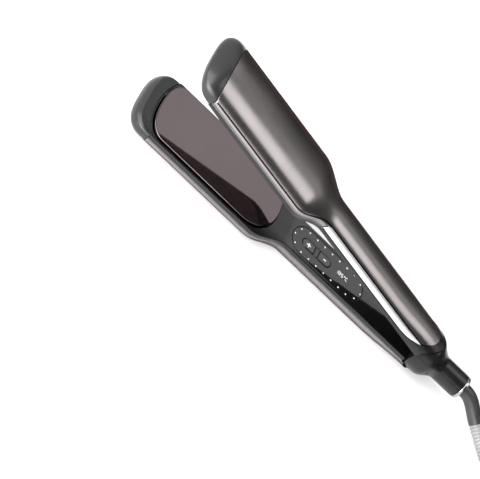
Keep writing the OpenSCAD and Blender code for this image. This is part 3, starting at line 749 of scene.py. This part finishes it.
def upper_end_cap():
    """Tail of the upper arm, cut round the hinge drum, under the trim and to the shell's rounded end."""
    rings = []
    for x in np.linspace(-42, -3, 40):
        a = np.linspace(0, np.pi, 49)
        c = np.cos(a)
        y = -np.sign(c) * half_w(x) * np.abs(c) ** (2 / POWER)
        p = wall_p(x) + (back_p(True, x) - wall_p(x)) * np.sin(a) ** (2 / POWER)
        w = float(half_w(x))
        foot = [(x, w, 2.5), (x, w - 0.15, 2.12), (x, w - 0.5, FACE),
                (x, 0.5 - w, FACE), (x, 0.15 - w, 2.12), (x, -w, 2.5)]
        rings.append(np.vstack([np.stack([x + 0 * y, y, p], 1), foot]))
    body = prism("upper_end_cap_skin", rings, True, "tail_plastic")
    a = np.linspace(0, 2 * np.pi, 129)[:-1]
    gap = DRUM + 0.42
    ring = np.stack([gap * np.cos(a), 0 * a, gap * np.sin(a)], 1)
    boolean(body, prism("drum_cut", [ring + (0, -20, 0), ring + (0, 20, 0)], True))
    xs = np.linspace(-43, -17.7, 24)
    low = trim_low(xs, LIP, STRIP - 0.25)
    cut = np.vstack([np.stack([xs, 0 * xs, low - 0.2], 1), [(xs[-1], 0, 30), (xs[0], 0, 30)]])
    boolean(body, prism("strip_cut", [cut + (0, -20, 0), cut + (0, 20, 0)], True))
    y = np.linspace(-11.3, 11.3, 61)
    loop = np.vstack([[(-30, -11.3)], np.stack([thumb_edge(y) + 0.25, y], 1), [(-30, 11.3)]])
    boolean(body, prism("thumb_cut", [at_depth(loop, STRIP - 0.4), at_depth(loop, 30)], True))
    soften(body, 0.00022, 2, 40)
    return finish_object(body, "upper_arm", ("upper_end_cap",), 32)


def tail_housing():
    """Drum, shoulder and swivel barrel, with fine bevels at the seams."""
    xs = np.concatenate([[0.01 - DRUM], np.linspace(-9, -3.2, 4), np.linspace(-3, 8, 34), [12, 22.75, 23.0, 23.1]])
    radius = mix(12.9, 7.7, ease((xs + 3.2) / 11.2))
    radius[-2:] = (7.62, 7.35)
    a = np.linspace(0, 2 * np.pi, 97)[:-1]
    rings = [np.stack([x + 0 * a, r * np.cos(a), r * np.sin(a)], 1) for x, r in zip(xs, radius)]
    body = prism("tail_housing_skin", rings, False, "tail_plastic")
    b = np.linspace(np.pi / 2, 3 * np.pi / 2, 81)
    arc = np.stack([DRUM * np.cos(b), 0 * b, DRUM * np.sin(b)], 1)
    loop = np.vstack([arc, [(40, 0, -DRUM), (40, 0, DRUM)]])
    boolean(body, prism("drum_keep", [loop + (0, -20, 0), loop + (0, 20, 0)], False), "INTERSECT")
    bore = np.stack([0 * a, 5.66 * np.cos(a), 5.66 * np.sin(a)], 1)
    boolean(body, prism("barrel_bore", [bore + (14, 0, 0), bore + (30, 0, 0)], False))
    soften(body, 0.0003, 3, 40)
    return finish_object(body, "lower_arm", ("tail_housing",), 34)


def collar():
    """Chrome ring on the swivel, with a rolled outer edge."""
    profile = [(5.63, 23.35), (7.2, 23.35), (7.5, 23.42), (7.62, 23.6), (7.66, 23.8), (7.66, 24.7), (7.58, 25.0),
               (7.42, 25.25), (7.1, 25.42), (6.75, 25.5), (6.45, 25.46), (6.2, 25.3), (5.9, 24.9), (5.63, 24.4)]
    a = np.linspace(0, 2 * np.pi, 97)[:-1]
    rings = [np.stack([x + 0 * a, r * np.cos(a), r * np.sin(a)], 1) for r, x in profile + profile[:1]]
    b = Build()
    b.grid(rings)
    return b.make("collar_skin", "cord_swivel", ["collar"], ("swivel_collar",), False, 40)


def key_loop(x, way, r, half, corner=0.8):
    """Outline of a key: a half circle at one end and two small corners at the other."""
    a = np.radians(np.linspace(-90, 90, 25))
    outer = np.stack([(half - r) + r * np.cos(a), r * np.sin(a)], 1)
    c1 = np.radians(np.linspace(90, 180, 7))
    c2 = np.radians(np.linspace(180, 270, 7))
    inner = np.vstack([
        np.stack([-half + corner + corner * np.cos(c1), r - corner + corner * np.sin(c1)], 1),
        np.stack([-half + corner + corner * np.cos(c2), -r + corner + corner * np.sin(c2)], 1)])
    loop = np.vstack([outer, inner])
    if way < 0:
        loop = (loop * (-1, 1))[::-1]
    return loop + (x, 0)


def button(name, x, way, body):
    """A key with a bevelled rim."""
    loop = key_loop(x, way, 3.2, 4.5)
    b = Build()
    b.grid(levels(loop, [(0, 2.95), (0, 2.08), (0.06, 1.95), (0.2, 1.87), (0.38, 1.85)]))
    b.face(at_depth(inset(loop, 0.38), 1.85))
    return b.make(name + "_skin", body, ["button"], (name,), False, 60)


KEYS = (("plus", -98, -1), ("minus", -85.4, 1))      # name, place, and which way the round end points


def panel():
    """Gloss window with a bevelled edge round it and wells for the keys."""
    loop = pill_loop(*PANEL, PANEL_R - 0.35, 40)
    b = Build()
    b.grid(levels(loop, [(0, 3.45), (0, 2.22), (0.06, 2.12), (0.2, 2.08)]))
    wells = []
    for _, x, way in KEYS:
        well = key_loop(x, way, 3.62, 4.92)
        b.grid(levels(well, [(-0.08, 2.08), (0, 2.16), (0, 3.45)]))
        wells.append(at_depth(inset(well, -0.08), 2.08))
    b.fill([at_depth(inset(loop, 0.2), 2.08)] + wells)
    return b.make("control_panel_skin", "lower_arm", ["panel"], ("control_panel",), False, 50)


for arm in (False, True):
    shell(arm)
    arm_frame(arm)
    plate(arm)
    tip_cap(arm)
side_strips()
# black strips laid into the seams along the upper arm and round the tails: painted shade for the gaps
head = np.linspace(-209.6, -112.2, 80)
side_shade_line("upper_shell_shade_line", head, mix(7.85, STRIP - 0.05, ease((head + 134) / 21)), 0.42)
trim = np.linspace(-112.4, -18.6, 80)
side_shade_line("upper_trim_shade_line", trim, STRIP - 0.02 + 0 * trim, 0.36)
side_shade_line("upper_edge_shade_line", trim[2:], trim_low(trim[2:], 4.7, STRIP - 0.7), 0.3)
seam_shade_line("upper_end_shade_line", True, 0.62, lambda y, p: thumb_edge(y) + 0.12)
seam_shade_line("upper_drum_shade_line", True, 0.12, lambda y, p: drum_edge(p, 0.62))
seam_shade_line("lower_drum_shade_line", False, 0.4, lambda y, p: drum_edge(p, 0.2))
upper_end_cap()
tail_housing()
collar()
panel()
for key_name, key_x, key_way in KEYS:
    button(key_name + "_button", key_x, key_way, key_name + "_key")


# ---------------------------------------------------------------- cord
def spline(points, steps):
    """Catmull-Rom line through points."""
    p = np.asarray(points, float)
    out = []
    for i in range(len(p) - 1):
        a, b, c, d = p[max(i - 1, 0)], p[i], p[i + 1], p[min(i + 2, len(p) - 1)]
        for k in range(steps):
            t = k / steps
            curved = (2 * a - 5 * b + 4 * c - d) * t * t + (3 * b - a - 3 * c + d) * t ** 3
            out.append(0.5 * (2 * b + (c - a) * t + curved))
    out.append(p[-1])
    return np.array(out)


def resample(path, step):
    """The same line with points about a step apart."""
    seg = np.linalg.norm(np.diff(path, axis=0), axis=1)
    s = np.concatenate([[0], np.cumsum(seg)])
    n = max(2, int(round(s[-1] / step)))
    t = np.linspace(0, s[-1], n + 1)
    return np.stack([np.interp(t, s, path[:, k]) for k in range(3)], 1)


def sweep(b, path, radii, sides=40):
    """A round bar of changing radius along a path, with flat ends."""
    way = np.gradient(path, axis=0)
    way /= np.linalg.norm(way, axis=1)[:, None]
    side = np.cross([0, 0, 1], way)
    side /= np.linalg.norm(side, axis=1)[:, None]
    over = np.cross(way, side)
    a = np.linspace(0, 2 * np.pi, sides + 1)[:-1]
    rings = [q + r * (np.cos(a)[:, None] * d + np.sin(a)[:, None] * o)
             for q, r, d, o in zip(path, radii, side, over)]
    b.grid(rings)
    b.face(rings[0])
    b.face(rings[-1])


# Cord set, in mm in the frame's own axes
RELIEF = [(118, 0, 15.2), (126, 0, 15.2), (131, 0, 14.9), (135, -0.6, 13.8), (139, -2, 12), (143, -3.8, 10),
          (147.2, -5.8, 8.2)]
RIBS = [(147.2, -5.8, 8.2), (153, -9.2, 6.2), (158.5, -13.2, 4.9), (164, -18, 4.1)]
LEAD = [(167.5, -21.5, 3.7), (171, -25, 3.9), (174, -28, 4.2)]
HANK_X, HANK_Y, RUN = 222.5, -17.4, 50.0
CORD_D, RELIEF_R = 6.0, 4.35
FIRST_LAYER = 4.5                                  # height of the lowest turns' centre line
PLUG_X, PLUG_Y, PLUG_Z, PLUG_L = 169.0, -8.0, 39.9, 36.0


def hank_turns():
    """Oval turns, in and out between two columns, climbing five layers; each turn shifts along its far side."""
    columns = [24, 18, 18, 24, 24, 18, 18, 24, 24, 18]
    layers = [0, 0, 1, 1, 2, 2, 3, 3, 4, 4]
    pts = []
    for n, (r, k) in enumerate(zip(columns, layers)):
        z = FIRST_LAYER + CORD_D * k
        start = 225 if n == 0 else 180
        for a in np.linspace(start, 270, 6 if n == 0 else 10)[:-1]:
            t = math.radians(a)
            pts.append((HANK_X - RUN / 2 + r * math.cos(t), HANK_Y + r * math.sin(t), z))
        pts += [(x, HANK_Y - r, z) for x in np.linspace(HANK_X - RUN / 2, HANK_X + RUN / 2, 6)[:-1]]
        for a in np.linspace(-90, 90, 19)[:-1]:
            t = math.radians(a)
            pts.append((HANK_X + RUN / 2 + r * math.cos(t), HANK_Y + r * math.sin(t), z))
        if n == len(columns) - 1:
            break
        r2, z2 = columns[n + 1], FIRST_LAYER + CORD_D * layers[n + 1]
        for t in np.linspace(0, 1, 9)[:-1]:
            e = float(ease(t))
            pts.append((HANK_X + RUN / 2 - RUN * t, HANK_Y + mix(r, r2, e), mix(z, z2, e)))
        for a in np.linspace(90, 180, 10)[:-1]:
            t = math.radians(a)
            pts.append((HANK_X - RUN / 2 + r2 * math.cos(t), HANK_Y + r2 * math.sin(t), z2))
    for t in np.linspace(0, 1, 13)[1:]:
        e = float(ease(t))
        x = mix(HANK_X + RUN / 2 + 2.5, PLUG_X + PLUG_L, t)
        pts.append((x, mix(HANK_Y + 18, PLUG_Y, e), mix(28.5, PLUG_Z, e)))
    return pts + [(PLUG_X + PLUG_L - 6, PLUG_Y, PLUG_Z)]


relief_line = spline(RELIEF, 6)
ribs_line = spline(RIBS, 10)
route = np.vstack([relief_line, ribs_line[1:], LEAD, hank_turns()]) * MM
route = resample(spline(route, 3), 0.0035)
curve = bpy.data.curves.new("power_cord", "CURVE")
curve.dimensions = "3D"
curve.bevel_depth = CORD_D / 2 * MM
curve.bevel_resolution = 5
curve.use_fill_caps = True
line = curve.splines.new("POLY")
line.points.add(len(route) - 1)
for point, q in zip(line.points, route):
    point.co = (*q, 1)
line.use_smooth = True
curve.materials.append(M["cord"])
power_cord = bpy.data.objects.new("power_cord", curve)
bpy.context.scene.collection.objects.link(power_cord)
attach(power_cord, "lower_arm")
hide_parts("cord_lead", "cord_hank", "cord_tail")

b = Build()
smooth_line = resample(relief_line, 1.2)
sweep(b, smooth_line * MM, np.full(len(smooth_line), RELIEF_R * MM))
relief_sleeve = b.make("relief_sleeve_skin", "lower_arm", ["relief"], ("relief_sleeve",))

b = Build()
rib_path = resample(ribs_line, 0.36)
taper = np.linspace(RELIEF_R, 3.55, len(rib_path))
groove = np.where(np.arange(len(rib_path)) % 6 < 4, 0, 0.55)
sweep(b, rib_path * MM, (taper - groove) * MM)
relief_ribs = b.make("relief_ribs_skin", "lower_arm", ["relief_ribs"], ("relief_ribs",), None, 50)

# tie band round the hank
TIE_X, TIE_LONG, TIE_HALF, TIE_TOP, TIE_R = 186.0, 14, 27.9, 33.0, 3.0
corners = ((TIE_HALF - TIE_R, TIE_R), (TIE_HALF - TIE_R, TIE_TOP - TIE_R),
           (TIE_R - TIE_HALF, TIE_TOP - TIE_R), (TIE_R - TIE_HALF, TIE_R))
outline = []
for (cy, cz), a0 in zip(corners, (-90, 0, 90, 180)):
    for a in np.radians(np.linspace(a0, a0 + 90, 8)):
        outline.append((HANK_Y + cy + TIE_R * math.cos(a), cz + TIE_R * math.sin(a)))
rings = []
for dx, d in ((0, 0.9), (0, 0.2), (0.2, 0), (TIE_LONG - 0.2, 0), (TIE_LONG, 0.2), (TIE_LONG, 0.9), (0, 0.9)):
    q = inset(outline, d)
    rings.append(np.stack([TIE_X + dx + 0 * q[:, 0], q[:, 0], q[:, 1]], 1) * MM)
b = Build()
b.grid(rings)
tie = b.make("cord_tie_skin", "lower_arm", ["tie"], ("cord_tie",), None, 40)

# plug: moulded body with grip grooves
b = Build()
rings = []
for t in np.linspace(0, 1, 60):
    x = PLUG_X + PLUG_L * t
    wide = 17.5 if t < 0.25 else mix(17.5, 5.2, ease((t - 0.25) / 0.72))
    tall = 6.9 if t < 0.3 else mix(6.9, 5.0, ease((t - 0.3) / 0.65))
    end = min(1, max(0, t / 0.05)) ** 0.5
    wide, tall = wide - 1.2 * (1 - end), tall - 1.2 * (1 - end)
    if 0.45 < t < 0.9 and int(t * 60) % 4 == 0:
        wide, tall = wide - 0.5, tall - 0.5
    a = np.linspace(0, 2 * np.pi, 65)[:-1]
    c, s = np.cos(a), np.sin(a)
    y = PLUG_Y + wide * np.sign(c) * np.abs(c) ** 0.55
    z = PLUG_Z + tall * np.sign(s) * np.abs(s) ** 0.6
    rings.append(np.stack([x + 0 * a, y, z], 1) * MM)
b.grid(rings)
b.face(rings[0])
b.face(rings[-1])
plug = b.make("plug_body_skin", "lower_arm", ["plug"], ("plug_body",), None, 35)

# pins with rounded ends
PIN_LONG, PIN_APART = 19, 18.6
profile = [(0.02, 0.0), (0.9, 0), (1.6, 0.25), (2.0, 0.9), (2.0, PIN_LONG)]
b = Build()
a = np.linspace(0, 2 * np.pi, 33)[:-1]
for y in (-PIN_APART / 2, PIN_APART / 2):
    rings = [np.stack([PLUG_X - PIN_LONG + x + 0 * a, PLUG_Y + y + r * np.cos(a), PLUG_Z + r * np.sin(a)], 1) * MM
             for r, x in profile]
    b.grid(rings)
    b.face(rings[0])
pins = b.make("plug_pins_skin", "lower_arm", ["pins"], ("plug_pins",))


# ---------------------------------------------------------------- floor, lights and world
FLOOR_HALF = 6
floor = bpy.data.meshes.new("floor")
corners = [(x * FLOOR_HALF, y * FLOOR_HALF, 0) for x, y in ((-1, -1), (1, -1), (1, 1), (-1, 1))]
floor.from_pydata(corners, [], [(0, 1, 2, 3)])
floor_object = bpy.data.objects.new("floor", floor)
bpy.context.scene.collection.objects.link(floor_object)
s = Shader("floor_white")
s.colour(s.blend(s.noise(3), (0.9, 0.9, 0.9), (0.93, 0.93, 0.93)))
s.rough(s.span(s.noise(4), 0.7, 0.8))
floor.materials.append(s.mat)

# the sky is bright towards the tip and nearly dark towards the tail, where the glossy sides look
world = bpy.data.worlds.new("studio")
world.use_nodes = True
bpy.context.scene.world = world
sky = world.node_tree
direction = sky.nodes.new("ShaderNodeTexCoord")
split = sky.nodes.new("ShaderNodeSeparateXYZ")
fade = sky.nodes.new("ShaderNodeMapRange")
fade.interpolation_type = "SMOOTHSTEP"
for key, value in (("From Min", -0.35), ("From Max", 0.3), ("To Min", 1.1), ("To Max", 0.1)):
    fade.inputs[key].default_value = value
sky.links.new(direction.outputs["Generated"], split.inputs[0])
sky.links.new(split.outputs["X"], fade.inputs["Value"])
sky.links.new(fade.outputs["Result"], sky.nodes["Background"].inputs["Strength"])
sky.nodes["Background"].inputs["Color"].default_value = (1, 1, 1, 1)


def softbox(name, way, distance, width, height, radiance, long_way=(1, 0, 0)):
    """A soft panel of light seen from the iron in one direction, its width lying along long_way."""
    data = bpy.data.lights.new(name, "AREA")
    data.shape = "RECTANGLE"
    data.size, data.size_y = width, height
    data.energy = radiance * width * height * math.pi
    obj = bpy.data.objects.new(name, data)
    out = Vector(way).normalized()
    across = Vector(long_way)
    across = (across - out * across.dot(out)).normalized()
    up_way = out.cross(across)
    spot = mid + out * distance
    obj.matrix_world = Matrix((
        (across.x, up_way.x, out.x, spot.x),
        (across.y, up_way.y, out.y, spot.y),
        (across.z, up_way.z, out.z, spot.z),
        (0, 0, 0, 1)))
    bpy.context.scene.collection.objects.link(obj)


softbox("sweep_light", (0.525, 0.21, 1.0), 1.25, 0.62, 0.68, 2.6, (1, 0, 0))
softbox("soft_edge_light", (0.56, 0.58, 0.6), 1.3, 0.4, 0.24, 0.8, (1, 0, 0))
softbox("back_light", (0.234, 0.7222, 0.6515), 1.3, 0.38, 0.34, 1.4, (1, 0, 0))
softbox("front_light", (0.47, -0.87, 0.27), 1.3, 0.9, 0.58, 1.0)
softbox("floor_light", (-0.3, -0.92, 0.34), 1.4, 1.6, 0.9, 6.5)
softbox("tip_light", (-0.75, -0.1, 0.72), 1.6, 1.6, 1.6, 4.0, (0, 1, 0))
softbox("fill_light", (-0.6, -0.75, 0.4), 1.5, 1.4, 0.9, 4.5, (0.75, -0.6, 0))
